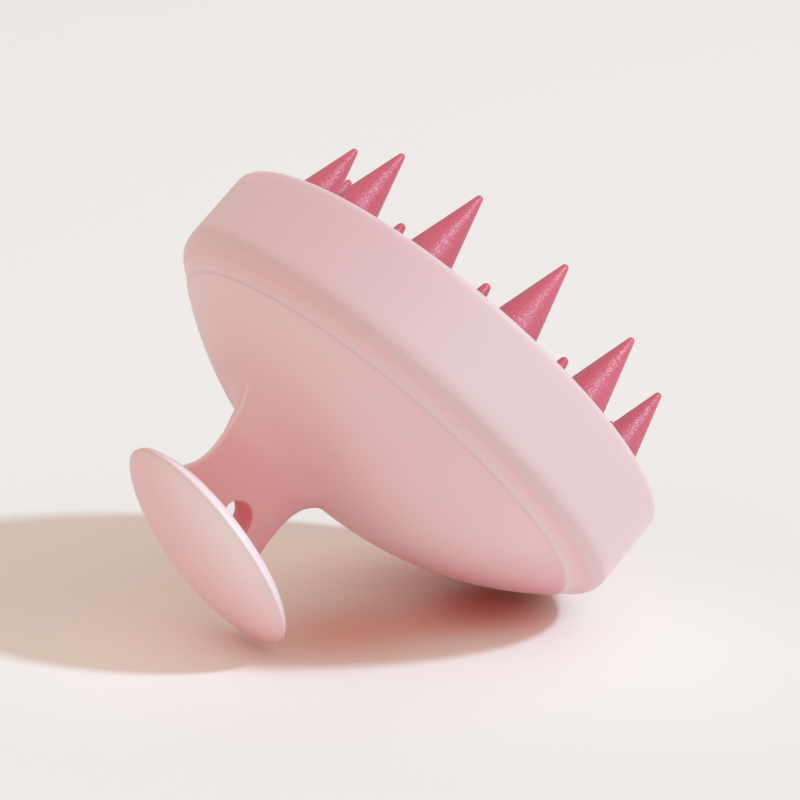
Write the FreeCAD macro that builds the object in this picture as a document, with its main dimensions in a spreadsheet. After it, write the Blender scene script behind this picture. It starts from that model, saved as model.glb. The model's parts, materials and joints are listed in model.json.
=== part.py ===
import FreeCAD, Part

# Scalp massager brush: a round head with silicone teeth under a palm knob on a thin neck.
#
# Millimetres. +Z runs from the teeth to the knob, and Z = 0 is the plane of the long teeth's tips.
# The head's axis is the Z axis, and the knob leans towards +X in the plane Y = 0.

import math
import os

import Sketcher

os.makedirs("parts", exist_ok=True)

doc = FreeCAD.newDocument("ScalpBrush")

# ---------------------------------------------------------------- driving dimensions

dimensions = {
    # head ring, the round band that the teeth stand in
    "RingRadius": 40.6,
    "RingWall": 3.2,
    "RimHeight": 14.0,           # long teeth reach this far past the rim
    "RimRounding": 1.1,
    "CreaseRadius": 36.6,        # where the ring's shoulder meets the dome
    "ShoulderRounding": 4.0,
    "GrooveDepth": 1.1,          # holds the pad's bead
    "GrooveHeight": 19.1,
    "GrooveWidth": 1.9,
    "ShelfRadius": 34.0,         # carries the backing plate
    "ShelfTop": 22.8,
    "CatchHeight": 26.0,         # snap groove between ring and dome
    "CatchWidth": 1.4,
    "CatchDepth": 0.5,
    # dome, neck and knob dish, one moulding
    "DomeRadius": 58.9,
    "DomeTop": 43.84,
    "ShellWall": 2.4,
    "SpigotGap": 0.08,
    "PlateThickness": 2.0,
    "KnobRadius": 17.57,
    "KnobCentreX": 9.97,
    "KnobCentreZ": 61.08,
    "KnobLean": 14.3,            # degrees towards +X
    "KnobEdge": 1.1,
    "KnobCrown": 3.7,
    "DishDepth": 2.4,
    "KnobWall": 1.6,
    "PegRadius": 2.5,
    "SocketWall": 1.6,
    "HangHoleRadius": 2.58,
    "HangHoleX": 10.85,
    "HangHoleZ": 55.27,
    # silicone pad
    "PadFace": 16.0,
    "BedRadius": 35.6,
    "BedThickness": 2.8,
    "BeadInner": 36.6,
    "WebThickness": 0.8,
    # teeth
    "LongRing": 30.4,
    "LongBase": 4.8,
    "TipRounding": 0.75,
    "ToothPhase": -6.9,          # degrees from +X to the first long tooth
    "ShortRing": 30.2,
    "ShortBase": 1.95,
    "ShortReach": 6.3,           # from the pad's face to the tip
    "ShortPhase": -24.1,
    "MiddleRing": 21.5,
    "MiddleBase": 2.6,
    "MiddleReach": 5.8,
    "MiddlePhase": 8.1,
    "InnerRing": 12.0,
    "InnerBase": 2.8,
    "InnerReach": 6.4,
    "CentreReach": 7.0,
    # backing plate
    "VentRadius": 2.0,
    "VentRing": 22.0,
}

# Ovals of the neck from the dome up to the knob's dish: centre x and z, half width in the plane
# of lean, half thickness across it, and lean in degrees. The first one is a circle.
neck_names = ("X", "Z", "Wide", "Thick", "Lean")
neck_ovals = [
    (7.80, 41.10, 15.95, 15.95, 7.9),
    (9.35, 42.55, 12.70, 10.20, 6.6),
    (10.30, 43.90, 10.75, 6.75, 5.4),
    (10.85, 45.30, 9.98, 4.85, 4.3),
    (11.10, 47.20, 9.25, 3.60, 3.2),
    (11.23, 49.40, 8.90, 2.95, 3.2),
    (11.28, 51.60, 8.90, 2.80, 4.2),
    (11.45, 53.80, 9.20, 2.95, 6.2),
    (11.60, 55.70, 9.85, 3.45, 8.6),
    (11.50, 57.30, 10.60, 4.70, 11.6),
    (10.95, 58.45, 12.20, 7.60, 13.6),
    (10.10, 59.80, 14.60, 12.60, 14.3),
]
for number, oval in enumerate(neck_ovals):
    for name, value in zip(neck_names, oval):
        dimensions["Neck%s%d" % (name, number)] = value

sheet = doc.addObject("Spreadsheet::Sheet", "Dims")
for row, (alias, value) in enumerate(dimensions.items(), start=1):
    sheet.set("A%d" % row, alias)
    sheet.set("B%d" % row, str(value))
    sheet.setAlias("B%d" % row, alias)
doc.recompute()

pieces = []


def keep(piece, label):
    """Names a finished sub-part, which is exported under that name."""
    piece.Label = label
    pieces.append(piece)
    return piece


def size(formula):
    """The number that a formula on the sheet's aliases gives now."""
    found = sheet.evalExpression(formula)
    return float(getattr(found, "Value", found))


def bind(item, **formulas):
    """Ties properties of a document object to formulas."""
    for name, formula in formulas.items():
        item.setExpression(name, formula)


def place(item, x="0", y="0", z="0", lean=None):
    """Ties where an object stands to formulas, and its turn about +Y to a lean in degrees."""
    if lean is not None:
        item.Placement.Rotation = FreeCAD.Rotation(FreeCAD.Vector(0, 1, 0), size(lean))
        bind(item, **{"Placement.Rotation.Angle": lean})
    bind(item, **{"Placement.Base.x": x, "Placement.Base.y": y, "Placement.Base.z": z})


def sphere_height(top, radius, at):
    """Formula for the height of a ball with its top at top, at a distance from its axis."""
    return "(%s) - (%s) + sqrt((%s)^2 - (%s)^2)" % (top, radius, radius, at)


def crown_radius(rise, half_width):
    """Formula for the radius of an arc that rises by rise over half_width."""
    return "((%s)^2 + (%s)^2) / (2 * (%s))" % (rise, half_width, rise)


# ---------------------------------------------------------------- revolved bodies

def turned(name, outline):
    """A body turned about its Z axis from an outline in its XZ plane.

    The outline is a closed run of (distance from the axis, height, arc radius) formulas. The arc
    radius belongs to the edge that leaves the point: None is a straight edge, and an arc bulges
    to the right of its edge, which is outwards where the outline runs counter-clockwise.
    """
    body = doc.addObject("PartDesign::Body", name)
    plane = [item for item in body.Origin.OriginFeatures if item.Role == "XZ_Plane"][0]
    sketch = body.newObject("Sketcher::SketchObject", name + "Outline")
    sketch.AttachmentSupport = [(plane, "")]
    sketch.MapMode = "FlatFace"
    corners = [FreeCAD.Vector(size(x), size(z), 0) for x, z, _ in outline]
    bound = []
    for index, (x, z, arc) in enumerate(outline):
        start, end = corners[index], corners[(index + 1) % len(corners)]
        if arc is None:
            sketch.addGeometry(Part.LineSegment(start, end), False)
        else:
            sketch.addGeometry(outward_arc(start, end, size(arc)), False)
    for index, (x, z, arc) in enumerate(outline):
        begins = 1
        if arc is not None:
            begins = 1 if sketch.Geometry[index].StartPoint.isEqual(corners[index], 1e-6) else 2
            bound.append((sketch.addConstraint(Sketcher.Constraint(
                "Radius", index, size(arc))), arc))
        for kind, formula in (("DistanceX", x), ("DistanceY", z)):
            number = sketch.addConstraint(Sketcher.Constraint(
                kind, -1, 1, index, begins, size(formula)))
            bound.append((number, formula))
    for index in range(len(outline)):
        after = (index + 1) % len(outline)
        ends = end_position(sketch, index, corners[after])
        starts = end_position(sketch, after, corners[after])
        sketch.addConstraint(Sketcher.Constraint("Coincident", index, ends, after, starts))
    for number, formula in bound:
        sketch.setExpression("Constraints[%d]" % number, formula)
    turn = body.newObject("PartDesign::Revolution", name + "Turned")
    turn.Profile = sketch
    turn.ReferenceAxis = (sketch, ["V_Axis"])
    turn.Angle = 360.0
    doc.recompute([sketch, turn, body])
    return body


def outward_arc(start, end, radius):
    """The short arc from start to end that bulges to the right of the way it goes."""
    chord = end - start
    half = chord.Length / 2.0
    right = FreeCAD.Vector(chord.y, -chord.x, 0).normalize()
    middle = (start + end) * 0.5
    rise = radius - math.sqrt(radius ** 2 - half ** 2)
    return Part.Arc(start, middle + right * rise, end)


def end_position(sketch, index, corner):
    """1 or 2: which end of the sketch's edge stands at the corner."""
    edge = sketch.Geometry[index]
    return 1 if edge.StartPoint.isEqual(corner, 1e-6) else 2


def rounded(body, formula, radius, height):
    """Rounds the circular edge of a turned body that stands at this radius and height."""
    base = body.Tip
    chosen = []
    for number, edge in enumerate(base.Shape.Edges, start=1):
        curve = edge.Curve
        if not isinstance(curve, Part.Circle):
            continue
        if abs(curve.Radius - radius) < 0.01 and abs(curve.Center.z - height) < 0.01:
            chosen.append("Edge%d" % number)
    if not chosen:
        raise RuntimeError("%s has no edge at %.2f, %.2f" % (body.Name, radius, height))
    fillet = body.newObject("PartDesign::Fillet", body.Name + "Rounding")
    fillet.Base = (base, chosen)
    bind(fillet, Radius=formula)
    body.Tip = fillet
    doc.recompute()


# ---------------------------------------------------------------- head ring

dome_at_crease = sphere_height("Dims.DomeTop", "Dims.DomeRadius", "Dims.CreaseRadius")
ring_inner = "Dims.RingRadius - Dims.RingWall"
groove_radius = ring_inner + " + Dims.GrooveDepth"
groove_top = "Dims.GrooveHeight + Dims.GrooveWidth"
catch_radius = "Dims.CreaseRadius + Dims.CatchDepth"
catch_top = "Dims.CatchHeight + Dims.CatchWidth"

ring = turned("SkirtRing", [
    (ring_inner, "Dims.RimHeight", None),
    ("Dims.RingRadius", "Dims.RimHeight", None),
    ("Dims.RingRadius", dome_at_crease + " - Dims.ShoulderRounding", "Dims.ShoulderRounding"),
    ("Dims.CreaseRadius", dome_at_crease, None),
    ("Dims.CreaseRadius", catch_top, None),
    (catch_radius, catch_top, None),
    (catch_radius, "Dims.CatchHeight", None),
    ("Dims.CreaseRadius", "Dims.CatchHeight", None),
    ("Dims.CreaseRadius", "Dims.ShelfTop", None),
    ("Dims.ShelfRadius", "Dims.ShelfTop", None),
    ("Dims.ShelfRadius", groove_top, None),
    (groove_radius, groove_top, None),
    (groove_radius, "Dims.GrooveHeight", None),
    (ring_inner, "Dims.GrooveHeight", None),
])
rounded(ring, "Dims.RimRounding", size("Dims.RingRadius"), size("Dims.RimHeight"))
keep(ring, "skirt_ring")

# ---------------------------------------------------------------- handle shell

spigot_outer = "Dims.CreaseRadius - Dims.SpigotGap"
spigot_inner = spigot_outer + " - Dims.ShellWall"
spigot_foot = "Dims.ShelfTop + Dims.PlateThickness"
inner_dome_radius = "Dims.DomeRadius - Dims.ShellWall"
inner_dome_top = "Dims.DomeTop - Dims.ShellWall"
barb = catch_radius + " - 2 * Dims.SpigotGap"

dome = turned("DomeShell", [
    (spigot_inner, spigot_foot, None),
    (spigot_outer, spigot_foot, None),
    (spigot_outer, "Dims.CatchHeight + Dims.SpigotGap", None),
    (barb, "Dims.CatchHeight + Dims.SpigotGap", None),
    (spigot_outer, catch_top + " - Dims.SpigotGap", None),
    (spigot_outer, sphere_height("Dims.DomeTop", "Dims.DomeRadius", spigot_outer),
     "Dims.DomeRadius"),
    ("0", "Dims.DomeTop", None),
    ("0", inner_dome_top, None),
    (spigot_inner, sphere_height(inner_dome_top, inner_dome_radius, spigot_inner), None),
])


def neck_oval(number):
    """One oval of the neck, lying across it."""
    wide, thick = "Dims.NeckWide%d" % number, "Dims.NeckThick%d" % number
    if size(wide) - size(thick) < 1e-6:
        oval = doc.addObject("Part::Circle", "NeckOval%d" % number)
        bind(oval, Radius=wide)
    else:
        oval = doc.addObject("Part::Ellipse", "NeckOval%d" % number)
        bind(oval, MajorRadius=wide, MinorRadius=thick)
    place(oval, x="Dims.NeckX%d" % number, z="Dims.NeckZ%d" % number,
          lean="Dims.NeckLean%d" % number)
    return oval


neck = doc.addObject("Part::Loft", "Neck")
neck.Sections = [neck_oval(number) for number in range(len(neck_ovals))]
neck.Solid = True
neck.Ruled = False
neck.MaxDegree = 3               # a higher degree swings out between the ovals

knob_half = "Dims.KnobRadius - Dims.KnobEdge"
dish_rise = "Dims.DishDepth - Dims.KnobEdge"
cap_rise = "Dims.KnobCrown - Dims.KnobEdge"
cap_crown = crown_radius(cap_rise, knob_half)
cap_inside_crown = cap_crown + " - Dims.KnobWall"
cap_inside_top = "Dims.KnobCrown - Dims.KnobWall"
# where the hollow's roof comes down to the parting plane
seam_inner = "sqrt((%s)^2 - ((%s) - (%s))^2)" % (cap_inside_crown, cap_inside_crown, cap_inside_top)
dish_floor = "Dims.DishDepth - Dims.KnobWall"
socket_radius = "Dims.PegRadius + Dims.SocketWall"

dish = turned("KnobDish", [
    ("0", "-(Dims.DishDepth)", crown_radius(dish_rise, knob_half)),
    (knob_half, "-(Dims.KnobEdge)", "Dims.KnobEdge"),
    ("Dims.KnobRadius", "0", None),
    (seam_inner, "0", None),
    (socket_radius, "-(%s)" % dish_floor, None),
    (socket_radius, "Dims.KnobWall / 2", None),
    ("Dims.PegRadius", "Dims.KnobWall / 2", None),
    ("Dims.PegRadius", "-(%s)" % dish_floor, None),
    ("0", "-(%s)" % dish_floor, None),
])
place(dish, x="Dims.KnobCentreX", z="Dims.KnobCentreZ", lean="Dims.KnobLean")

moulding = doc.addObject("Part::MultiFuse", "HandleMoulding")
moulding.Shapes = [dome, neck, dish]
drill = doc.addObject("Part::Cylinder", "HangHoleDrill")
bind(drill, Radius="Dims.HangHoleRadius", Height="Dims.KnobRadius * 2")
drill.Placement.Rotation = FreeCAD.Rotation(FreeCAD.Vector(1, 0, 0), 90)
place(drill, x="Dims.HangHoleX", y="Dims.KnobRadius", z="Dims.HangHoleZ")
handle = doc.addObject("Part::Cut", "HandleShell")
handle.Base = moulding
handle.Tool = drill
keep(handle, "handle_shell")

cap = turned("PalmCap", [
    ("0", "-(%s)" % dish_floor, None),
    ("Dims.PegRadius", "-(%s)" % dish_floor, None),
    ("Dims.PegRadius", sphere_height(cap_inside_top, cap_inside_crown, "Dims.PegRadius"), None),
    (seam_inner, "0", None),
    ("Dims.KnobRadius", "0", "Dims.KnobEdge"),
    (knob_half, "Dims.KnobEdge", cap_crown),
    ("0", "Dims.KnobCrown", None),
])
place(cap, x="Dims.KnobCentreX", z="Dims.KnobCentreZ", lean="Dims.KnobLean")
keep(cap, "palm_cap")

# ---------------------------------------------------------------- backing plate

plate = doc.addObject("Part::Cylinder", "PlateDisc")
bind(plate, Radius=spigot_outer, Height="Dims.PlateThickness")
place(plate, z="Dims.ShelfTop")
vents = []
vent_count = 6
for number in range(vent_count):
    vent = doc.addObject("Part::Cylinder", "Vent%d" % number)
    bind(vent, Radius="Dims.VentRadius", Height="Dims.PlateThickness * 3")
    angle = 360.0 / vent_count * number
    place(vent, x="Dims.VentRing * cos(%f)" % angle, y="Dims.VentRing * sin(%f)" % angle,
          z="Dims.ShelfTop - Dims.PlateThickness")
    vents.append(vent)
vent_group = doc.addObject("Part::MultiFuse", "Vents")
vent_group.Shapes = vents
backing = doc.addObject("Part::Cut", "BackingPlate")
backing.Base = plate
backing.Tool = vent_group
keep(backing, "backing_plate")

# ---------------------------------------------------------------- silicone pad

bed_top = "Dims.PadFace + Dims.BedThickness"
bed = turned("ToothBed", [
    ("0", "Dims.PadFace", None),
    ("Dims.BedRadius", "Dims.PadFace", None),
    ("Dims.BedRadius", bed_top, None),
    ("0", bed_top, None),
])
keep(bed, "tooth_bed")

bead = turned("PadBead", [
    ("Dims.BeadInner", "Dims.GrooveHeight", None),
    (groove_radius, "Dims.GrooveHeight", None),
    (groove_radius, groove_top, None),
    ("Dims.BeadInner", groove_top, None),
])
keep(bead, "pad_bead")

web_top = groove_top + " - Dims.WebThickness"
web = turned("PadWeb", [
    ("Dims.BedRadius", bed_top + " - Dims.WebThickness", None),
    ("Dims.BeadInner", web_top + " - Dims.WebThickness", None),
    ("Dims.BeadInner", web_top, None),
    ("Dims.BedRadius", bed_top, None),
])
keep(web, "pad_web")


# ---------------------------------------------------------------- teeth

def tooth(label, base_radius, reach, ring_radius, angle):
    """A cone that points down from the pad's face and ends in a ball tip.

    All sizes are formulas, and angle is one for the degrees from +X.
    """
    tip = "Dims.TipRounding"
    # the ball touches the cone where the cone's slope meets it
    slant = "sqrt((%s)^2 + (%s - %s)^2)" % (reach, base_radius, tip)
    lean = "((%s - %s) / (%s))" % (base_radius, tip, slant)
    rise = "((%s) / (%s))" % (reach, slant)
    touch_radius = "%s * %s" % (tip, rise)
    touch_height = "-(%s) + %s - %s * %s" % (reach, tip, tip, lean)
    name = "".join(word.capitalize() for word in label.split("_"))
    body = turned(name, [
        ("0", "-(%s)" % reach, tip),
        (touch_radius, touch_height, None),
        (base_radius, "0", None),
        ("0", "0", None),
    ])
    place(body, x="(%s) * cos(%s)" % (ring_radius, angle),
          y="(%s) * sin(%s)" % (ring_radius, angle), z="Dims.PadFace")
    keep(body, label)


def tooth_ring(label, count, base_radius, reach, ring_radius, first_angle):
    """Evenly spaced teeth on one circle."""
    for number in range(count):
        tooth("%s_%02d" % (label, number + 1), base_radius, reach, ring_radius,
              "%s + %f" % (first_angle, 360.0 / count * number))


outer_count = 12
inner_count = 6
tooth_ring("long_tooth", outer_count, "Dims.LongBase", "Dims.PadFace", "Dims.LongRing",
           "Dims.ToothPhase")
tooth_ring("short_tooth", outer_count, "Dims.ShortBase", "Dims.ShortReach", "Dims.ShortRing",
           "Dims.ShortPhase")
tooth_ring("middle_tooth", outer_count, "Dims.MiddleBase", "Dims.MiddleReach",
           "Dims.MiddleRing", "Dims.MiddlePhase")
tooth_ring("inner_tooth", inner_count, "Dims.InnerBase", "Dims.InnerReach", "Dims.InnerRing",
           "Dims.ToothPhase")
tooth("centre_tooth", "Dims.InnerBase", "Dims.CentreReach", "0", "0")

# ---------------------------------------------------------------- check and write

doc.recompute()
for item in doc.Objects:
    if "Invalid" in item.State or "Error" in item.State:
        raise RuntimeError("%s did not build: %s" % (item.Name, item.State))
for piece in pieces:
    shape = piece.Shape
    if shape.isNull() or not shape.isValid():
        raise RuntimeError("%s has no valid shape" % piece.Label)
    if len(shape.Solids) != 1:
        raise RuntimeError("%s is %d solids" % (piece.Label, len(shape.Solids)))
    shape.exportStep("parts/%s.step" % piece.Label)
print("%d sub-parts written" % len(pieces))
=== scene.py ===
import json
import math

import bmesh
import bpy
import numpy as np
from mathutils import Matrix, Vector


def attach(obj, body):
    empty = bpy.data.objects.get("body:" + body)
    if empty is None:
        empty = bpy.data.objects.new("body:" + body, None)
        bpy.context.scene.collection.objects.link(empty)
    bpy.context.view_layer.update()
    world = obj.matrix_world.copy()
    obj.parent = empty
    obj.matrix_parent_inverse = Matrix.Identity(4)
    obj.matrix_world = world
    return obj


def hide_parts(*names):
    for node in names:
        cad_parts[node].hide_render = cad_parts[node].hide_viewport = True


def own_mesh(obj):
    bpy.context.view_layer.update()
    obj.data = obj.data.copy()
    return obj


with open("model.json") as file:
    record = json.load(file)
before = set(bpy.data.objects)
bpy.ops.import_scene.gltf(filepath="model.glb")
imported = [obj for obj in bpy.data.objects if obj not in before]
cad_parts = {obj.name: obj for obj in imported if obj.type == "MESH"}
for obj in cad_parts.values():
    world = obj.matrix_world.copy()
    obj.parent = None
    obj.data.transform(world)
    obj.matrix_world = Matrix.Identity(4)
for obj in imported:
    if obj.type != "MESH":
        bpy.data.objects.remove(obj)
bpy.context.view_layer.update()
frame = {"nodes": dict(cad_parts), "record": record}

mm = 0.001
# up from the surface that the brush lies on, knob edge and ring edge down
floorUp = Vector((0.74537, 0, -0.66665))
print("frame loaded")


def meshObject(name, vertices, faces, material, smooth=True):
    # a plain mesh piece with its place in its mesh
    mesh = bpy.data.meshes.new(name)
    mesh.from_pydata([tuple(v) for v in vertices], [], [tuple(f) for f in faces])
    mesh.update()
    mesh.polygons.foreach_set("use_smooth", [smooth] * len(mesh.polygons))
    mesh.materials.append(material)
    piece = bpy.data.objects.new(name, mesh)
    bpy.context.scene.collection.objects.link(piece)
    return piece


def arcPoints(centre, radius, fromDegrees, toDegrees, steps):
    # points on an arc, first and last included
    span = toDegrees - fromDegrees
    turns = [math.radians(fromDegrees + span * i / steps) for i in range(steps + 1)]
    return [(centre[0] + radius * math.cos(a), centre[1] + radius * math.sin(a)) for a in turns]


def smoothCurve(knots, steps):
    # a curve through knots of any dimension, whose slope at each knot comes from the two gaps beside it
    knots = np.array(knots, float)
    gaps = np.maximum(np.linalg.norm(np.diff(knots[:, :2], axis=0), axis=1), 1e-9)
    slopes = np.zeros_like(knots)
    rise = np.diff(knots, axis=0) / gaps[:, None]
    slopes[0], slopes[-1] = rise[0], rise[-1]
    for i in range(1, len(knots) - 1):
        before, after = gaps[i - 1], gaps[i]
        slopes[i] = (rise[i - 1] * after + rise[i] * before) / (before + after)
    points = []
    for i, h in enumerate(gaps):
        for j in range(steps):
            t = j / steps
            stay, leave = 2 * t**3 - 3 * t**2 + 1, t**3 - 2 * t**2 + t
            reach, arrive = -2 * t**3 + 3 * t**2, t**3 - t**2
            points.append(stay * knots[i] + leave * h * slopes[i]
                          + reach * knots[i + 1] + arrive * h * slopes[i + 1])
    points.append(knots[-1])
    return np.array(points)


def revolve(name, outline, material, segments, place=None):
    # turns a run of (radius, height) about Z: ends on the axis become poles, other runs close up
    outline = [(r * mm, z * mm) for r, z in outline]
    place = place or Matrix.Identity(4)
    vertices, rings = [], []
    for r, z in outline:
        if r < 1e-9:
            rings.append([len(vertices)])
            vertices.append(place @ Vector((0, 0, z)))
        else:
            rings.append(list(range(len(vertices), len(vertices) + segments)))
            for s in range(segments):
                a = 2 * math.pi * s / segments
                vertices.append(place @ Vector((r * math.cos(a), r * math.sin(a), z)))
    pairs = list(zip(rings, rings[1:]))
    if len(rings[0]) > 1:
        pairs.append((rings[-1], rings[0]))
    faces = []
    for low, high in pairs:
        for s in range(segments):
            n = (s + 1) % segments
            if len(low) == 1 and len(high) == 1:
                continue
            if len(low) == 1:
                faces.append((low[0], high[n], high[s]))
            elif len(high) == 1:
                faces.append((low[s], low[n], high[0]))
            else:
                faces.append((low[s], low[n], high[n], high[s]))
    return meshObject(name, vertices, faces, material)


def outward(piece):
    # makes every face of a closed piece point outwards
    work = bmesh.new()
    work.from_mesh(piece.data)
    bmesh.ops.remove_doubles(work, verts=work.verts, dist=1e-7)
    bmesh.ops.recalc_face_normals(work, faces=work.faces)
    work.to_mesh(piece.data)
    work.free()
    piece.data.update()
    return piece


def settle(piece):
    # turns a piece and its modifiers into one plain smooth mesh
    done = bpy.data.meshes.new_from_object(piece.evaluated_get(bpy.context.evaluated_depsgraph_get()))
    piece.modifiers.clear()
    piece.data = done
    done.polygons.foreach_set("use_smooth", [True] * len(done.polygons))


def paint(piece, title, rule):
    # writes a number per vertex, worked out from places (metres) and normals, for the material to read
    mesh = piece.data
    places = np.empty(len(mesh.vertices) * 3)
    normals = np.empty(len(mesh.vertices) * 3)
    mesh.vertices.foreach_get("co", places)
    mesh.vertices.foreach_get("normal", normals)
    values = rule(places.reshape(-1, 3), normals.reshape(-1, 3))
    layer = mesh.attributes.new(title, "FLOAT", "POINT")
    layer.data.foreach_set("value", np.clip(values, 0, 1).astype(np.float32))


def fade(values, start, end):
    # 0 before start, 1 after end, smooth between
    t = np.clip((values - start) / (end - start), 0, 1)
    return t * t * (3 - 2 * t)


def nodeGroup(name, inputs, outputs):
    group = bpy.data.node_groups.new(name, "ShaderNodeTree")
    for title, kind, value in inputs:
        socket = group.interface.new_socket(title, in_out="INPUT", socket_type=kind)
        if value is not None:
            socket.default_value = value
    for title, kind in outputs:
        group.interface.new_socket(title, in_out="OUTPUT", socket_type=kind)
    return group, group.nodes.new("NodeGroupInput"), group.nodes.new("NodeGroupOutput")


def mathNode(tree, operation, first, second=None, third=None, clamp=False):
    node = tree.nodes.new("ShaderNodeMath")
    node.operation = operation
    node.use_clamp = clamp
    for socket, value in zip(node.inputs, (first, second, third)):
        if value is None:
            continue
        if hasattr(value, "links"):
            tree.links.new(value, socket)
        else:
            socket.default_value = value
    return node.outputs[0]


def noiseNode(tree, vector, scale, detail):
    node = tree.nodes.new("ShaderNodeTexNoise")
    node.inputs["Scale"].default_value = scale
    node.inputs["Detail"].default_value = detail
    node.inputs["Roughness"].default_value = 0.55
    tree.links.new(vector, node.inputs["Vector"])
    return node.outputs["Fac"]


def mixColour(tree, factor, first, second):
    node = tree.nodes.new("ShaderNodeMix")
    node.data_type = "RGBA"
    # the colour sockets of a Mix node are its seventh and eighth inputs and its third output
    tree.links.new(factor, node.inputs[0])
    for place, value in ((6, first), (7, second)):
        if hasattr(value, "links"):
            tree.links.new(value, node.inputs[place])
        else:
            node.inputs[place].default_value = (*value, 1)
    return node.outputs[2]


def mouldedSkinGroup():
    # fine moulded grain with slow cloudy change, for every rigid plastic piece
    group, inside, out = nodeGroup("mouldedSkin", [
        ("Vector", "NodeSocketVector", None),
        ("Grain Scale", "NodeSocketFloat", 2600.0),
        ("Cloud Scale", "NodeSocketFloat", 45.0),
    ], [("Height", "NodeSocketFloat"), ("Cloud", "NodeSocketFloat")])
    grain = group.nodes.new("ShaderNodeTexNoise")
    grain.inputs["Detail"].default_value = 2.0
    group.links.new(inside.outputs["Vector"], grain.inputs["Vector"])
    group.links.new(inside.outputs["Grain Scale"], grain.inputs["Scale"])
    waves = group.nodes.new("ShaderNodeTexNoise")
    waves.inputs["Detail"].default_value = 2.0
    group.links.new(inside.outputs["Vector"], waves.inputs["Vector"])
    group.links.new(inside.outputs["Cloud Scale"], waves.inputs["Scale"])
    height = mathNode(group, "MULTIPLY_ADD", waves.outputs["Fac"], 0.6, grain.outputs["Fac"])
    group.links.new(height, out.inputs["Height"])
    group.links.new(waves.outputs["Fac"], out.inputs["Cloud"])
    return group


mouldedSkin = mouldedSkinGroup()


def startMaterial(name, **constants):
    # a material with a principled shader whose plain numbers are set on its own sockets
    material = bpy.data.materials.new(name)
    material.use_nodes = True
    tree = material.node_tree
    shader = tree.nodes["Principled BSDF"]
    for title, value in constants.items():
        shader.inputs[title.replace("_", " ")].default_value = value
    coordinates = tree.nodes.new("ShaderNodeTexCoord").outputs["Object"]
    return material, tree, shader, coordinates


def addBump(tree, shader, height, strength, distance):
    bump = tree.nodes.new("ShaderNodeBump")
    bump.inputs["Strength"].default_value = strength
    bump.inputs["Distance"].default_value = distance
    tree.links.new(height, bump.inputs["Height"])
    tree.links.new(bump.outputs["Normal"], shader.inputs["Normal"])
    return bump


def placeSkin(tree, coordinates, grainScale, cloudScale):
    skin = tree.nodes.new("ShaderNodeGroup")
    skin.node_tree = mouldedSkin
    skin.inputs["Grain Scale"].default_value = grainScale
    skin.inputs["Cloud Scale"].default_value = cloudScale
    tree.links.new(coordinates, skin.inputs["Vector"])
    return skin.outputs


plasticLook = {
    "handle": (0.90, 0.62, 0.63),
    "handleCloud": (0.87, 0.575, 0.585),
    # the cap and ring are the handle's plastic, coloured deeper on the cap and cooler on the ring to
    # paint in how the light falls on them
    "cap": (0.93, 0.545, 0.55),
    "ring": (0.79, 0.60, 0.60),
    "ringCloud": (0.80, 0.59, 0.60),
    # painted colours: shade warmed as by bounced light, the light inside the hole, highlights, and
    # shade in the ring's crease
    "paintedShade": (0.80, 0.23, 0.295),
    "glow": (1.0, 0.42, 0.48),
    "paintedHighlight": (0.98, 0.84, 0.83),
    "crease": (0.66, 0.36, 0.37),
    "roughness": 0.5, "roughnessChange": 0.10, "cloudShare": 0.5,
    "grainScale": 2600.0, "cloudScale": 38.0, "bumpStrength": 0.35, "bumpHeight": 0.00002,
}


def attributeNode(tree, title):
    node = tree.nodes.new("ShaderNodeAttribute")
    node.attribute_name = title
    return node.outputs["Fac"]


def softPlastic(name, light, cloud, tints):
    # tints is {attribute painted on the piece: colour}
    material, tree, shader, coordinates = startMaterial(
        name, Roughness=plasticLook["roughness"], Subsurface_Weight=0.15, Subsurface_Scale=0.004,
        Subsurface_Radius=(1.0, 0.45, 0.35), Sheen_Weight=0.25, Sheen_Roughness=0.5,
        Specular_IOR_Level=0.4)
    skin = placeSkin(tree, coordinates, plasticLook["grainScale"], plasticLook["cloudScale"])
    tint = mathNode(tree, "MULTIPLY", skin["Cloud"], plasticLook["cloudShare"])
    colour = mixColour(tree, tint, light, cloud)
    for title, value in tints.items():
        colour = mixColour(tree, attributeNode(tree, title), colour, value)
    tree.links.new(colour, shader.inputs["Base Color"])
    change = plasticLook["roughnessChange"]
    rough = mathNode(tree, "MULTIPLY_ADD", skin["Cloud"], change, plasticLook["roughness"] - change / 2)
    tree.links.new(rough, shader.inputs["Roughness"])
    addBump(tree, shader, skin["Height"], plasticLook["bumpStrength"], plasticLook["bumpHeight"])
    return material


handlePlastic = softPlastic("handlePlastic", plasticLook["handle"], plasticLook["handleCloud"],
                            {"paintedShade": plasticLook["paintedShade"], "glow": plasticLook["glow"],
                             "paintedHighlight": plasticLook["paintedHighlight"]})
# the cap's and ring's plastics are the handle's, with the colour shifted as painted light and shade
capPlastic = softPlastic("capPlastic", plasticLook["cap"], plasticLook["handleCloud"],
                         {"paintedShade": plasticLook["paintedShade"], "paintedHighlight": plasticLook["paintedHighlight"]})
ringPlastic = softPlastic("ringPlastic", plasticLook["ring"], plasticLook["ringCloud"],
                          {"inner": plasticLook["handle"], "crease": plasticLook["crease"],
                           "paintedShade": plasticLook["paintedShade"], "paintedHighlight": plasticLook["paintedHighlight"]})

siliconeLook = {
    # two random tones, and the edge colour painted as shade towards the outline
    "light": (0.70, 0.125, 0.19), "deep": (0.60, 0.09, 0.145), "edge": (0.40, 0.05, 0.09),
    "edgeBlend": 0.35, "edgePower": 2.5, "slowScale": 60.0,
    "lowestRoughness": 0.26, "roughnessChange": 0.25,
    "grainScale": 4200.0, "grainHeight": 0.00003, "sparkleScale": 8000.0, "sparkleTurn": 0.42,
}


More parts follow.
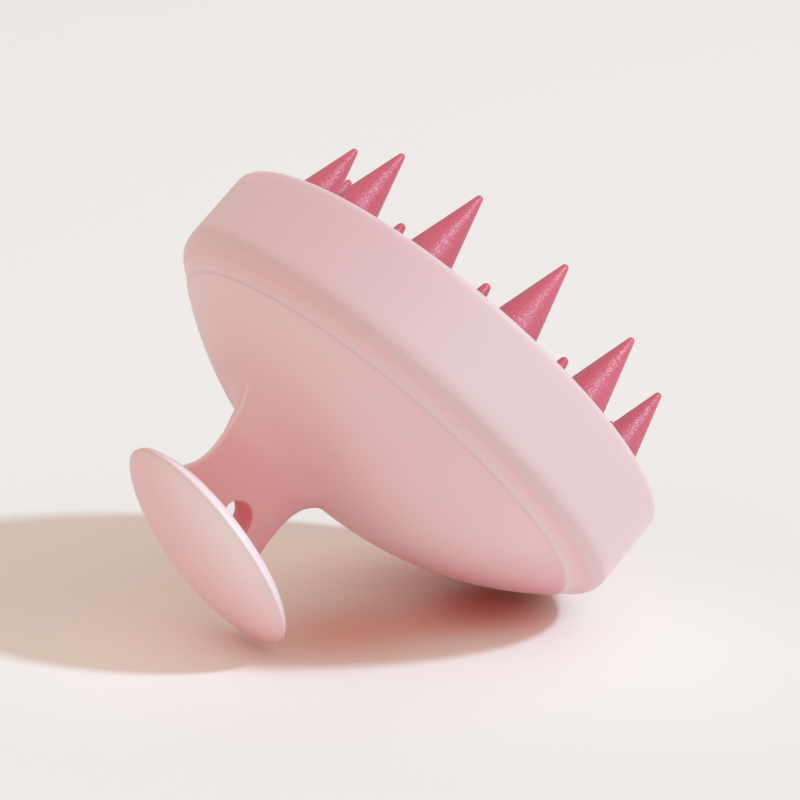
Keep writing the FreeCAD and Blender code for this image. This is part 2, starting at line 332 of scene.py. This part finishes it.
def sparkleGroup():
    # tiny facets, each turned its own way, that catch the light one by one
    group, inside, out = nodeGroup("sparkle", [
        ("Vector", "NodeSocketVector", None),
        ("Scale", "NodeSocketFloat", 8000.0),
        ("Turn", "NodeSocketFloat", 0.4),
    ], [("Normal", "NodeSocketVector")])
    cells = group.nodes.new("ShaderNodeTexVoronoi")
    group.links.new(inside.outputs["Vector"], cells.inputs["Vector"])
    group.links.new(inside.outputs["Scale"], cells.inputs["Scale"])
    centred = group.nodes.new("ShaderNodeVectorMath")
    centred.operation = "SUBTRACT"
    group.links.new(cells.outputs["Color"], centred.inputs[0])
    centred.inputs[1].default_value = (0.5, 0.5, 0.5)
    turned = group.nodes.new("ShaderNodeVectorMath")
    turned.operation = "SCALE"
    group.links.new(centred.outputs[0], turned.inputs[0])
    group.links.new(inside.outputs["Turn"], turned.inputs["Scale"])
    added = group.nodes.new("ShaderNodeVectorMath")
    group.links.new(group.nodes.new("ShaderNodeNewGeometry").outputs["Normal"], added.inputs[0])
    group.links.new(turned.outputs[0], added.inputs[1])
    even = group.nodes.new("ShaderNodeVectorMath")
    even.operation = "NORMALIZE"
    group.links.new(added.outputs[0], even.inputs[0])
    group.links.new(even.outputs[0], out.inputs["Normal"])
    return group


def padSiliconeMaterial():
    # frosted silicone: coarse sparkling grain, and painted shade: a deeper tone where it turns away
    # from the eye
    material, tree, shader, coordinates = startMaterial(
        "padSilicone", Subsurface_Weight=0.12, Subsurface_Scale=0.002,
        Subsurface_Radius=(1.0, 0.3, 0.3), Specular_IOR_Level=0.75)
    grain = noiseNode(tree, coordinates, siliconeLook["grainScale"], 1.0)
    slow = noiseNode(tree, coordinates, siliconeLook["slowScale"], 2.0)
    colour = mixColour(tree, slow, siliconeLook["light"], siliconeLook["deep"])
    # painted shade towards the outline, where the surface turns away from the eye
    turned = tree.nodes.new("ShaderNodeLayerWeight")
    turned.inputs["Blend"].default_value = siliconeLook["edgeBlend"]
    rim = mathNode(tree, "POWER", turned.outputs["Facing"], siliconeLook["edgePower"])
    colour = mixColour(tree, rim, colour, siliconeLook["edge"])
    tree.links.new(colour, shader.inputs["Base Color"])
    rough = mathNode(tree, "MULTIPLY_ADD", grain, siliconeLook["roughnessChange"],
                     siliconeLook["lowestRoughness"])
    tree.links.new(rough, shader.inputs["Roughness"])
    sparkle = tree.nodes.new("ShaderNodeGroup")
    sparkle.node_tree = sparkleGroup()
    sparkle.inputs["Scale"].default_value = siliconeLook["sparkleScale"]
    sparkle.inputs["Turn"].default_value = siliconeLook["sparkleTurn"]
    tree.links.new(coordinates, sparkle.inputs["Vector"])
    bump = addBump(tree, shader, grain, 1.0, siliconeLook["grainHeight"])
    tree.links.new(sparkle.outputs["Normal"], bump.inputs["Normal"])
    return material


padSilicone = padSiliconeMaterial()
print("materials made")


domeShape = {"ballRadius": 58.9, "top": 43.84, "edgeRadius": 36.52, "spigot": 34.2,
             "wall": 2.4, "foot": 24.8, "neckFoot": 15.95, "neckLean": 7.9}
seamDepth = 0.02
knobShape = {
    "radius": 17.57, "centreX": 9.97, "centreZ": 61.08, "lean": 14.3, "edge": 1.1, "crown": 3.7,
    # the dish inside the knob, and the cap's inner face over it: radius and height
    "dish": [(14.3, 0.0), (10.0, -0.42), (5.0, -0.72)], "dishMiddle": -0.8,
    "capInside": [(0, 2.1), (6, 1.73), (12, 0.63), (14.3, 0.0)],
    # how steeply the cap's section rises from its rim
    "pebble": 1.47,
}
holeShape = {
    "radius": 2.58, "x": 10.85, "z": 55.27,
    # the mouth, from outside in: how far it is past the bore's radius, and its place along the bore
    "mouth": [(0.75, -5.95), (0.3, -3.05), (0.18, -2.8), (0.07, -2.45), (0, -2.0)],
}

# ovals of the neck, bottom to top: centre x and z, half width, half thickness, lean in degrees
neckOvals = [
    (9.35, 42.55, 12.70, 10.20, 6.6),
    (10.30, 43.90, 10.80, 6.75, 5.4),
    (10.85, 45.30, 9.98, 4.85, 4.3),
    (11.10, 47.20, 9.25, 3.60, 3.2),
    (11.23, 49.40, 8.90, 2.95, 3.2),
    (11.28, 51.60, 8.90, 2.80, 4.2),
    (11.45, 53.80, 9.20, 2.95, 6.2),
    (11.60, 55.70, 9.85, 3.45, 8.6),
    (11.50, 57.30, 10.80, 4.70, 11.6),
    (10.95, 58.45, 12.30, 7.60, 13.6),
    (10.30, 59.10, 13.95, 11.80, 14.3),
]
neckSteps = 8        # slices between one oval and the next


def ballOval(share):
    # a round slice of the dome's ball, between the dome's edge (share 0) and the neck's foot (share 1)
    ball, edge = domeShape["ballRadius"], domeShape["edgeRadius"]
    centreZ = domeShape["top"] - ball
    degrees = domeShape["neckLean"] * share
    lean = math.radians(degrees)
    radius = edge + (domeShape["neckFoot"] - edge) * share
    depth = math.sqrt(ball**2 - radius**2)
    return (depth * math.sin(lean), centreZ + depth * math.cos(lean), radius, radius, degrees)


def ovalRing(oval, segments):
    # points on one oval, closer together at its thin ends
    x, z, half, thick, lean = oval
    lean = math.radians(lean)
    points = []
    for s in range(segments):
        a = 2 * math.pi * s / segments
        u, v = half * math.cos(a), thick * math.sin(a)
        points.append(Vector((x + u * math.cos(lean), v, z - u * math.sin(lean))) * mm)
    return points


def knobOval(radius, height):
    # a round slice of the knob at a height from its parting plane
    lean = math.radians(knobShape["lean"])
    x = knobShape["centreX"] + height * math.sin(lean)
    z = knobShape["centreZ"] + height * math.cos(lean)
    return (x, z, radius, radius, knobShape["lean"])


def handleOvals():
    # every slice of the moulding's outer skin, from the spigot's foot to the knob's seam
    foot = domeShape["foot"]
    slices = [(0, foot, r, r, 0) for r in (domeShape["spigot"], domeShape["edgeRadius"])]
    domeSteps = 40
    # the slice just inside the edge keeps the edge itself crisp
    shares = [0, 0.001] + [i / domeSteps for i in range(1, domeSteps + 1)]
    slices += [ballOval(share) for share in shares]
    radius, edge = knobShape["radius"], knobShape["edge"]
    lead = [ballOval(0.86), ballOval(1.0)]
    dishArc = [knobOval(15.6, -1.72), knobOval(radius - edge, -edge - 0.02)]
    neck = smoothCurve(lead + neckOvals + dishArc, neckSteps)
    # the first stretch only leads the curve in: the dome's own slices cover it
    slices += [tuple(o) for o in neck[neckSteps + 1:]]
    for r, z in arcPoints((radius - edge, 0), edge, -80, -4, 8):
        slices.append(knobOval(r, z))
    slices.append(knobOval(radius - seamDepth, 0.0))
    return slices


def handleSkin():
    segments = 320
    rings = [ovalRing(o, segments) for o in handleOvals()]
    # inside of the knob's dish, closed on its axis
    for r, z in knobShape["dish"]:
        rings.append(ovalRing(knobOval(r, z), segments))
    vertices = [p for ring in rings for p in ring]
    faces = []
    for i in range(len(rings) - 1):
        for s in range(segments):
            n = (s + 1) % segments
            low, high = i * segments, (i + 1) * segments
            faces.append((low + s, low + n, high + n, high + s))
    x, z = knobOval(0, knobShape["dishMiddle"])[:2]
    vertices.append(Vector((x, 0, z)) * mm)
    last = (len(rings) - 1) * segments
    for s in range(segments):
        faces.append((last + s, last + (s + 1) % segments, len(vertices) - 1))
    # inside of the dome, from the spigot's foot up to its top
    ball = domeShape["ballRadius"] - domeShape["wall"]
    centreZ = domeShape["top"] - domeShape["ballRadius"]
    before = list(range(segments))
    innerSteps = 16
    for i in range(1, innerSteps):
        r = domeShape["spigot"] * (1 - i / innerSteps)
        z = centreZ + math.sqrt(ball**2 - r**2)
        start = len(vertices)
        for s in range(segments):
            a = 2 * math.pi * s / segments
            vertices.append(Vector((r * math.cos(a), r * math.sin(a), z)) * mm)
        for s in range(segments):
            n = (s + 1) % segments
            faces.append((before[n], before[s], start + s, start + n))
        before = list(range(start, start + segments))
    vertices.append(Vector((0, 0, centreZ + ball)) * mm)
    for s in range(segments):
        faces.append((before[(s + 1) % segments], before[s], len(vertices) - 1))
    return outward(meshObject("handleShell", vertices, faces, handlePlastic))


def drillHole(piece):
    # a cutter whose mouths widen a little, so that the hole's edges come out soft
    outline = [(holeShape["radius"] + wider, z) for wider, z in holeShape["mouth"]]
    outline = [(0, outline[0][1])] + outline
    outline += [(x, -z) for x, z in reversed(outline)]
    middle = Vector((holeShape["x"], 0, holeShape["z"])) * mm
    place = Matrix.Translation(middle) @ Matrix.Rotation(math.radians(90), 4, "X")
    cutter = outward(revolve("holeCutter", outline, handlePlastic, 64, place))
    cut = piece.modifiers.new("hole", "BOOLEAN")
    cut.operation = "DIFFERENCE"
    cut.solver = "EXACT"
    cut.object = cutter
    settle(piece)
    bpy.data.objects.remove(cutter)


def knobPlace():
    turn = Matrix.Rotation(math.radians(knobShape["lean"]), 4, "Y")
    return Matrix.Translation(Vector((knobShape["centreX"], 0, knobShape["centreZ"])) * mm) @ turn


intoKnob = knobPlace().inverted()
# the knob's lit side: which way it faces in the knob's own axes, and where across the face it starts
knobTint = {"way": (0.49, -0.87), "across": (0.1, 1.05), "ease": 1.6, "most": 0.9,
            # how far below the seam the painted highlight fades, and the painted shade on the cap's
            # floor-facing side
            "belowSeam": (-2.2, -1.2), "underside": (0.5, 1.0, 0.5)}
handleTint = {
    # how far a place must face the floor for the painted shade to start and to be full, and its most
    "underside": (0.66, 1.00, 0.90),
    # painted shade on the neck, ending under the knob, and round the neck's root
    "neck": 0.36, "neckRise": (42.0, 48.5), "underKnob": (-3.6, -2.3),
    "root": 0.17, "rootReach": (11.0, 27.0), "rootTop": 46.0, "axisX": 10.5,
    # the painted highlight line on the neck: strength, sideways place and width, from which x, and its
    # two ends
    "line": 0.6, "lineY": -0.2, "lineWidth": 0.4, "lineX": 12,
    "lineRise": (37.5, 43.0), "lineEnd": (57.0, 58.5),
    "glowEdge": (2.65, 2.95), "glowDepth": 7.0,
}


def underside(normals, amount):
    # how much each place faces the surface that the brush lies on
    start, end, most = amount
    return fade(normals @ -np.array(floorUp), start, end) * most


def handlePaintedShade(places, normals):
    # painted shade, warmed as by bounced light: deeper under the dome, on the neck and round the neck's
    # root
    x, y, z = (places / mm).T
    lean = math.radians(knobShape["lean"])
    fromSeam = (x - knobShape["centreX"]) * math.sin(lean) + (z - knobShape["centreZ"]) * math.cos(lean)
    tint = handleTint
    neck = fade(z, *tint["neckRise"]) * (1 - fade(fromSeam, *tint["underKnob"])) * tint["neck"]
    fromNeck = np.hypot(x - tint["axisX"], y)
    root = (1 - fade(fromNeck, *tint["rootReach"])) * (z < tint["rootTop"]) * tint["root"]
    return np.maximum(underside(normals, tint["underside"]), np.maximum(neck, root))


def knobLight(places):
    # the side of the knob that the soft light falls on
    local = np.array([tuple(intoKnob @ Vector(p)) for p in places]) / mm
    wayX, wayY = knobTint["way"]
    across = (local[:, 0] * wayX + local[:, 1] * wayY) / knobShape["radius"]
    start, end = knobTint["across"]
    amount = np.clip((across - start) / (end - start), 0, 1) ** knobTint["ease"] * knobTint["most"]
    return amount * fade(local[:, 2], *knobTint["belowSeam"])


def handlePaintedHighlight(places, normals):
    # painted highlights: the light line along the neck's thin edge, which runs on over the dome, and
    # the knob's lit side
    x, y, z = (places / mm).T
    tint = handleTint
    line = np.exp(-((y - tint["lineY"]) / tint["lineWidth"]) ** 2) * (x > tint["lineX"])
    line = line * fade(z, *tint["lineRise"]) * (1 - fade(z, *tint["lineEnd"])) * tint["line"]
    return np.maximum(line, knobLight(places))


def holeGlow(places, normals):
    # the warm light inside the hanging hole
    x, y, z = (places / mm).T
    away = np.hypot(x - holeShape["x"], z - holeShape["z"])
    return (1 - fade(away, *handleTint["glowEdge"])) * (np.abs(y) < handleTint["glowDepth"])


handleShell = handleSkin()
drillHole(handleShell)
# painted shade, the painted light in the hole and painted highlights
paint(handleShell, "paintedShade", handlePaintedShade)
paint(handleShell, "glow", holeGlow)
paint(handleShell, "paintedHighlight", handlePaintedHighlight)
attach(handleShell, "head")
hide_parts("handle_shell")
print("handle shell made")


def palmCapPiece():
    crown, radius = knobShape["crown"], knobShape["radius"] - seamDepth
    outline = knobShape["capInside"] + [(radius, 0.0)]
    # a pebble's section: the edge eases into the crown without a line
    steps = 44
    for i in range(1, steps):
        turn = math.radians(90 * i / steps)
        outline.append((radius * math.cos(turn), crown * math.sin(turn) ** knobShape["pebble"]))
    outline.append((0, crown))
    return outward(revolve("palmCap", outline, capPlastic, 320, knobPlace()))


palmCap = palmCapPiece()
# painted shade on the cap's floor-facing side and a painted highlight on its lit side
paint(palmCap, "paintedShade", lambda places, normals: underside(normals, knobTint["underside"]))
paint(palmCap, "paintedHighlight", lambda places, normals: knobLight(places))
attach(palmCap, "head")
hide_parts("palm_cap")
print("palm cap made")


ringShape = {
    "radius": 40.6, "wall": 3.2, "rim": 14.0, "rimRounding": 1.1, "crease": 36.6,
    "groove": (19.1, 21.0, 38.5), "shelf": (34.0, 22.8), "bandTop": 25.2,
    # the lip's last hair lies over the dome's edge and turns down beside it
    "lip": [(36.499, 31.176), (36.56, 31.0)],
    # a quick turn off the band, then a soft cove up to the dome
    "shoulderKnots": [(40.6, 25.8), (40.48, 26.8), (40.12, 27.7), (39.5, 28.48), (38.7, 29.13),
                      (37.95, 29.75), (37.3, 30.35), (36.82, 30.88), (36.5, 31.175)],
}


def headRingPiece():
    shape = ringShape
    outer, inner = shape["radius"], shape["radius"] - shape["wall"]
    soft = shape["rimRounding"]
    low, high = shape["rim"] + soft, shape["bandTop"]
    outline = arcPoints((inner + soft, low), soft, 180, 268, 8)
    outline += arcPoints((outer - soft, low), soft, 272, 358, 8)
    bandSteps = 6
    outline += [(outer, low + (high - low) * i / bandSteps) for i in range(1, bandSteps + 1)]
    outline += [tuple(p) for p in smoothCurve(shape["shoulderKnots"], 5)]
    outline += shape["lip"]
    shelf, shelfTop = shape["shelf"]
    grooveLow, grooveHigh, grooveRadius = shape["groove"]
    outline += [(shape["crease"], shelfTop), (shelf, shelfTop), (shelf, grooveHigh),
                (grooveRadius, grooveHigh), (grooveRadius, grooveLow),
                (inner, grooveLow), (inner, grooveLow - 0.2)]
    return outward(revolve("headRing", outline, ringPlastic, 384))


def ringRadius(places):
    return np.hypot(places[:, 0], places[:, 1]) / mm


ringTint = {
    # where the cove's tone ends and the band's begins, and the height it starts above
    "cove": (38.5, 39.75), "coveFoot": 27.5,
    # painted rings round the shoulder, shade in the crease and a highlight on the ridge: radius, width
    # and strength
    "crease": (38.75, 0.6, 0.20), "creaseRise": (27.6, 28.4), "paintedHighlight": (37.0, 0.3, 0.22),
    # how far a place must face the floor for the painted shade to start and to be full, and its most
    "underside": (0.6, 1.0, 0.25),
    # painted shade, deeper towards each side along X: start, end and strength
    "low": (5, 42, 0.17), "high": (18, 40, 0.18),
}


def ringInner(places, normals):
    # the cove takes the dome's tone
    start, end = ringTint["cove"]
    return (1 - fade(ringRadius(places), start, end)) * (places[:, 2] > ringTint["coveFoot"] * mm)


def ringBand(places, title):
    # a soft-edged ring of tone, for the painted shade in the crease and the painted highlight on the
    # ridge
    radius, width, strength = ringTint[title]
    return np.exp(-((ringRadius(places) - radius) / width) ** 2) * strength


# painted shade in the shoulder's crease
def ringCrease(places, normals):
    return ringBand(places, "crease") * fade(places[:, 2] / mm, *ringTint["creaseRise"])


# painted shade on the floor-facing side and towards each end along X
def ringPaintedShade(places, normals):
    sides = []
    for way, title in ((-1, "low"), (1, "high")):
        start, end, strength = ringTint[title]
        sides.append(fade(way * places[:, 0] / mm, start, end) * strength)
    return np.maximum(underside(normals, ringTint["underside"]), np.maximum(*sides))


headRing = headRingPiece()
paint(headRing, "inner", ringInner)
# painted shade in the crease and on the lower side, and a painted highlight on the ridge
paint(headRing, "crease", ringCrease)
paint(headRing, "paintedShade", ringPaintedShade)
paint(headRing, "paintedHighlight", lambda places, normals: ringBand(places, "paintedHighlight"))
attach(headRing, "head")
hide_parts("skirt_ring")
print("head ring made")

padShape = {"face": 16.0, "bed": 35.6, "bedThickness": 2.8, "sink": 0.4, "edgeRounding": 0.4,
            "toothFillet": 0.3, "firstSeed": 11}

# each kind of tooth: base radius, reach from the pad's face, tip rounding, steps around
toothKinds = {
    "longTooth": (4.8, 16.0, 0.55, 56),
    "shortTooth": (1.95, 6.3, 0.65, 32),
    "middleTooth": (2.6, 5.8, 0.65, 32),
    "innerTooth": (2.8, 6.4, 0.65, 32),
    "centreTooth": (2.8, 7.0, 0.65, 32),
}
# each row of teeth: kind, count, ring radius, first tooth in degrees from +X
toothRows = [
    ("longTooth", 12, 30.4, -6.9),
    ("shortTooth", 12, 30.2, -24.1),
    ("middleTooth", 12, 21.5, 8.1),
    ("innerTooth", 6, 12.0, -6.9),
    ("centreTooth", 1, 0.0, 0.0),
]


def toothSource(name, base, reach, tip, segments):
    # one tooth that points down from its origin, its foot sunk into the bed
    slant = math.hypot(reach, base - tip)
    lean = math.degrees(math.asin((base - tip) / slant))
    sink, fillet = padShape["sink"], padShape["toothFillet"]
    outline = [(0, sink), (base + fillet, sink), (base + fillet, 0.02)]
    outline += [(base + fillet * (1 - t) ** 2, -fillet * t ** 2) for t in (0.35, 0.7)]
    steps = 18
    touch = tip * math.cos(math.radians(lean))
    touchZ = -reach + tip - tip * math.sin(math.radians(lean))
    for i in range(1, steps):
        t = i / steps
        outline.append((base + (touch - base) * t, touchZ * t))
    outline += arcPoints((0, -reach + tip), tip, -lean, -80, 7)
    outline.append((0, -reach))
    piece = outward(revolve(name, outline, padSilicone, segments))
    piece.hide_render = True
    return piece


def toothRowTree():
    # stands copies of one tooth on a ring, each turned by a seeded amount about its own axis
    tree = bpy.data.node_groups.new("toothRow", "GeometryNodeTree")
    for title, kind in (("Geometry", "NodeSocketGeometry"), ("Tooth", "NodeSocketObject"),
                        ("Count", "NodeSocketInt"), ("Ring Radius", "NodeSocketFloat"),
                        ("First Angle", "NodeSocketFloat"), ("Height", "NodeSocketFloat"),
                        ("Seed", "NodeSocketInt"), ("Material", "NodeSocketMaterial")):
        tree.interface.new_socket(title, in_out="INPUT", socket_type=kind)
    tree.interface.new_socket("Geometry", in_out="OUTPUT", socket_type="NodeSocketGeometry")
    inside, out = tree.nodes.new("NodeGroupInput"), tree.nodes.new("NodeGroupOutput")
    index = tree.nodes.new("GeometryNodeInputIndex").outputs[0]
    step = mathNode(tree, "DIVIDE", 2 * math.pi, inside.outputs["Count"])
    angle = mathNode(tree, "MULTIPLY_ADD", index, step, inside.outputs["First Angle"])
    place = tree.nodes.new("ShaderNodeCombineXYZ")
    ringRadiusIn = inside.outputs["Ring Radius"]
    for axis, operation in (("X", "COSINE"), ("Y", "SINE")):
        along = mathNode(tree, "MULTIPLY", mathNode(tree, operation, angle), ringRadiusIn)
        tree.links.new(along, place.inputs[axis])
    tree.links.new(inside.outputs["Height"], place.inputs["Z"])
    feet = tree.nodes.new("GeometryNodePoints")
    tree.links.new(inside.outputs["Count"], feet.inputs["Count"])
    tree.links.new(place.outputs[0], feet.inputs["Position"])
    source = tree.nodes.new("GeometryNodeObjectInfo")
    tree.links.new(inside.outputs["Tooth"], source.inputs["Object"])
    spin = tree.nodes.new("FunctionNodeRandomValue")
    spin.data_type = "FLOAT"
    floats = [socket for socket in spin.inputs if socket.type == "VALUE"]
    floats[0].default_value, floats[1].default_value = 0.0, 2 * math.pi
    tree.links.new(inside.outputs["Seed"], spin.inputs["Seed"])
    spinTurn = tree.nodes.new("ShaderNodeCombineXYZ")
    spun = [socket for socket in spin.outputs if socket.type == "VALUE"][0]
    tree.links.new(spun, spinTurn.inputs["Z"])
    copies = tree.nodes.new("GeometryNodeInstanceOnPoints")
    tree.links.new(feet.outputs[0], copies.inputs["Points"])
    tree.links.new(source.outputs["Geometry"], copies.inputs["Instance"])
    tree.links.new(spinTurn.outputs[0], copies.inputs["Rotation"])
    joined = tree.nodes.new("GeometryNodeJoinGeometry")
    tree.links.new(copies.outputs["Instances"], joined.inputs["Geometry"])
    tree.links.new(inside.outputs["Geometry"], joined.inputs["Geometry"])
    solid = tree.nodes.new("GeometryNodeRealizeInstances")
    tree.links.new(joined.outputs["Geometry"], solid.inputs["Geometry"])
    dressed = tree.nodes.new("GeometryNodeSetMaterial")
    tree.links.new(solid.outputs["Geometry"], dressed.inputs["Geometry"])
    tree.links.new(inside.outputs["Material"], dressed.inputs["Material"])
    tree.links.new(dressed.outputs["Geometry"], out.inputs["Geometry"])
    return tree


def padPiece():
    # the bed of the pad with every row of teeth grown on it
    face, soft = padShape["face"], padShape["edgeRounding"]
    top, edge = face + padShape["bedThickness"], padShape["bed"]
    outline = [(0, top), (edge * 0.5, top), (edge - soft, top)]
    outline += arcPoints((edge - soft, top - soft), soft, 80, 0, 4)
    outline += arcPoints((edge - soft, face + soft), soft, 0, -90, 5)
    outline += [(edge * i / 8, face) for i in range(7, 0, -1)] + [(0, face)]
    pad = outward(revolve("pad", outline, padSilicone, 192))
    tree = toothRowTree()
    sockets = {item.name: item.identifier for item in tree.interface.items_tree
               if item.in_out == "INPUT"}
    sources = {kind: toothSource(kind, *sizes) for kind, sizes in toothKinds.items()}
    for number, (kind, count, radius, first) in enumerate(toothRows):
        row = pad.modifiers.new("row%d" % number, "NODES")
        row.node_group = tree
        row[sockets["Tooth"]] = sources[kind]
        row[sockets["Count"]] = count
        row[sockets["Ring Radius"]] = radius * mm
        row[sockets["First Angle"]] = math.radians(first)
        row[sockets["Height"]] = face * mm
        row[sockets["Seed"]] = padShape["firstSeed"] + number
        row[sockets["Material"]] = padSilicone
    settle(pad)
    for source in sources.values():
        bpy.data.objects.remove(source)
    return pad


pad = padPiece()
print("pad has %d faces" % len(pad.data.polygons))
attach(pad, "tooth_pad")
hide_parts(*frame["record"]["behaviour"]["bodies"]["tooth_pad"])
print("pad made")


flangeShape = {"bead": (36.6, 38.5, 19.1, 21.0), "beadRounding": 0.3,
               "web": [(35.61, 18.0), (36.6, 19.4), (36.6, 20.2), (35.61, 18.8)],
               "webTop": 20.2, "webKeep": 0.095}


def beadPiece():
    # the round lip that sits in the ring's groove
    inner, outer, low, high = flangeShape["bead"]
    soft = flangeShape["beadRounding"]
    outline = []
    for r, z, start in ((outer - soft, low + soft, -90), (outer - soft, high - soft, 0),
                        (inner + soft, high - soft, 90), (inner + soft, low + soft, 180)):
        outline += arcPoints((r, z), soft, start, start + 90, 4)
    return outward(revolve("padBead", outline, padSilicone, 192))


def webPiece():
    # the thin sloping skin between the bed and the lip, in its resting shape
    corners = flangeShape["web"] + flangeShape["web"][:1]
    outline = []
    for (r0, z0), (r1, z1) in zip(corners, corners[1:]):
        outline += [(r0 + (r1 - r0) * i / 4, z0 + (z1 - z0) * i / 4) for i in range(4)]
    return outward(revolve("padWeb", outline, padSilicone, 192))


for name, piece in (("pad_bead", beadPiece()), ("pad_web", webPiece())):
    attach(piece, "head")
    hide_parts(name)
    if name == "pad_web":
        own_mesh(piece)
print("lip and web made")

# the plate inside is shown as the CAD has it, in the ring's plastic
plate = frame["nodes"]["backing_plate"].data
plate.materials.clear()
plate.materials.append(ringPlastic)


shot = {"azimuth": 33.22, "elevation": 12.6, "roll": -139.87, "distance": 0.424,
        "aim": (-0.8, 2.1, 23.65), "lens": 125.48}


def placeCamera():
    a, e, roll = (math.radians(shot[k]) for k in ("azimuth", "elevation", "roll"))
    back = Vector((math.sin(a) * math.cos(e), -math.cos(a) * math.cos(e), math.sin(e)))
    right = Vector((math.cos(a), math.sin(a), 0))
    up = back.cross(right)
    turnedRight = right * math.cos(roll) + up * math.sin(roll)
    turnedUp = up * math.cos(roll) - right * math.sin(roll)
    camera = bpy.data.objects.new("camera", bpy.data.cameras.new("camera"))
    bpy.context.scene.collection.objects.link(camera)
    camera.data.lens = shot["lens"]
    axes = Matrix((turnedRight, turnedUp, back)).transposed().to_4x4()
    camera.matrix_world = Matrix.Translation(Vector(shot["aim"]) * mm + back * shot["distance"]) @ axes
    bpy.context.scene.camera = camera
    return turnedRight


cameraRight = placeCamera()

floorLook = {
    "paper": (0.885, 0.855, 0.825), "paperCloud": (0.875, 0.845, 0.815), "cloudScale": 3.0,
    # half the floor's side and its gap below the brush, in metres
    "size": 2.6, "gap": 0.0002,
    # painted pools of light, and of shadow reddened as by light bounced off the brush, around where the
    # brush rests: colour, strength, centre, half axes (mm)
    "pools": [
        ((1.0, 0.98, 0.90), 1.0, (-30.0, -16.0, 38.0), (62.0, 66.0)),
        ((0.98, 0.95, 0.91), 1.0, (-3.0, 2.0, 70.0), (52.0, 42.0)),
        ((1.0, 1.0, 0.94), 1.0, (-25.0, 25.0, 45.3), (26.0, 26.0)),
        ((0.87, 0.60, 0.49), 1.0, (-16.5, -4.0, 55.0), (25.0, 19.0)),
        ((0.88, 0.50, 0.39), 1.0, (-31.0, -7.5, 38.5), (19.0, 13.0)),
        ((0.78, 0.12, 0.11), 0.6, (-34.8, -1.0, 34.4), (15.0, 10.0)),
    ],
}


def floorMaterial():
    material, tree, shader, coordinates = startMaterial(
        "floorPaper", Roughness=0.85, Specular_IOR_Level=0.2)
    slow = noiseNode(tree, coordinates, floorLook["cloudScale"], 2.0)
    colour = mixColour(tree, slow, floorLook["paper"], floorLook["paperCloud"])
    across = floorUp.cross(Vector((0, 1, 0))).normalized()
    # each pool paints a patch of light or of reddened shadow on the paper
    for tone, strength, centre, (halfAcross, halfAlong) in floorLook["pools"]:
        spread = []
        for direction, half in ((across, halfAcross), (Vector((0, 1, 0)), halfAlong)):
            shift = tree.nodes.new("ShaderNodeVectorMath")
            shift.operation = "SUBTRACT"
            tree.links.new(coordinates, shift.inputs[0])
            shift.inputs[1].default_value = Vector(centre) * mm
            dot = tree.nodes.new("ShaderNodeVectorMath")
            dot.operation = "DOT_PRODUCT"
            tree.links.new(shift.outputs[0], dot.inputs[0])
            dot.inputs[1].default_value = direction / (half * mm)
            spread.append(mathNode(tree, "MULTIPLY", dot.outputs["Value"], dot.outputs["Value"]))
        # full in the middle, nothing at the edge, with no visible rim
        reach = mathNode(tree, "SQRT", mathNode(tree, "ADD", *spread))
        inside = mathNode(tree, "SUBTRACT", 1.0, reach, clamp=True)
        eased = mathNode(tree, "MULTIPLY", inside, mathNode(tree, "MULTIPLY_ADD", inside, -2.0, 3.0))
        soft = mathNode(tree, "MULTIPLY", eased, inside)
        amount = mathNode(tree, "MULTIPLY", soft, strength)
        colour = mixColour(tree, amount, colour, tone)
    tree.links.new(colour, shader.inputs["Base Color"])
    # seen from behind, the floor is clear
    clear = tree.nodes.new("ShaderNodeBsdfTransparent")
    side = tree.nodes.new("ShaderNodeNewGeometry").outputs["Backfacing"]
    mix = tree.nodes.new("ShaderNodeMixShader")
    tree.links.new(side, mix.inputs[0])
    tree.links.new(shader.outputs[0], mix.inputs[1])
    tree.links.new(clear.outputs[0], mix.inputs[2])
    tree.links.new(mix.outputs[0], tree.nodes["Material Output"].inputs["Surface"])
    return material


def placeFloor():
    # the plane that the ring's edge and the knob's edge lie on
    touching = [frame["nodes"][name].data for name in ("skirt_ring", "palm_cap")]
    lowest = min(floorUp.dot(v.co) for mesh in touching for v in mesh.vertices)
    across = floorUp.cross(Vector((0, 1, 0))).normalized()
    along = floorUp.cross(across).normalized()
    size = floorLook["size"]
    middle = floorUp * (lowest - floorLook["gap"])
    signs = ((-1, -1), (1, -1), (1, 1), (-1, 1))
    corners = [middle + across * size * x + along * size * y for x, y in signs]
    floor = meshObject("floor", corners, [(0, 1, 2, 3)], floorMaterial(), smooth=False)
    if floor.data.polygons[0].normal.dot(floorUp) < 0:
        floor.data.flip_normals()


placeFloor()

keyLight = {"azimuth": 71, "elevation": 44.2, "distance": 8.0, "size": 0.85, "power": 400,
            "colour": (0.535, 0.79, 1.0)}
skyLook = {"colour": (0.75, 0.64, 0.56), "strength": 1.0}


def placeLight(name, azimuth, elevation, distance, size, power, colour):
    # azimuth from the camera's line of sight over the floor, to its right
    a, e = math.radians(azimuth), math.radians(elevation)
    forward = floorUp.cross(cameraRight).normalized()
    way = (cameraRight * math.sin(a) - forward * math.cos(a)) * math.cos(e) + floorUp * math.sin(e)
    lamp = bpy.data.lights.new(name, "AREA")
    lamp.shape = "DISK"
    lamp.size = size
    lamp.energy = power
    lamp.color = colour
    light = bpy.data.objects.new(name, lamp)
    bpy.context.scene.collection.objects.link(light)
    light.location = Vector((0, 0, 0.03)) + way * distance
    light.rotation_mode = "QUATERNION"
    light.rotation_quaternion = (-way).to_track_quat("-Z", "Y")


placeLight("key", **keyLight)
world = bpy.data.worlds.new("studio")
bpy.context.scene.world = world
world.use_nodes = True
sky = world.node_tree.nodes["Background"]
sky.inputs["Color"].default_value = (*skyLook["colour"], 1)
sky.inputs["Strength"].default_value = skyLook["strength"]
bpy.context.scene.view_settings.view_transform = "Standard"
print("stage set")
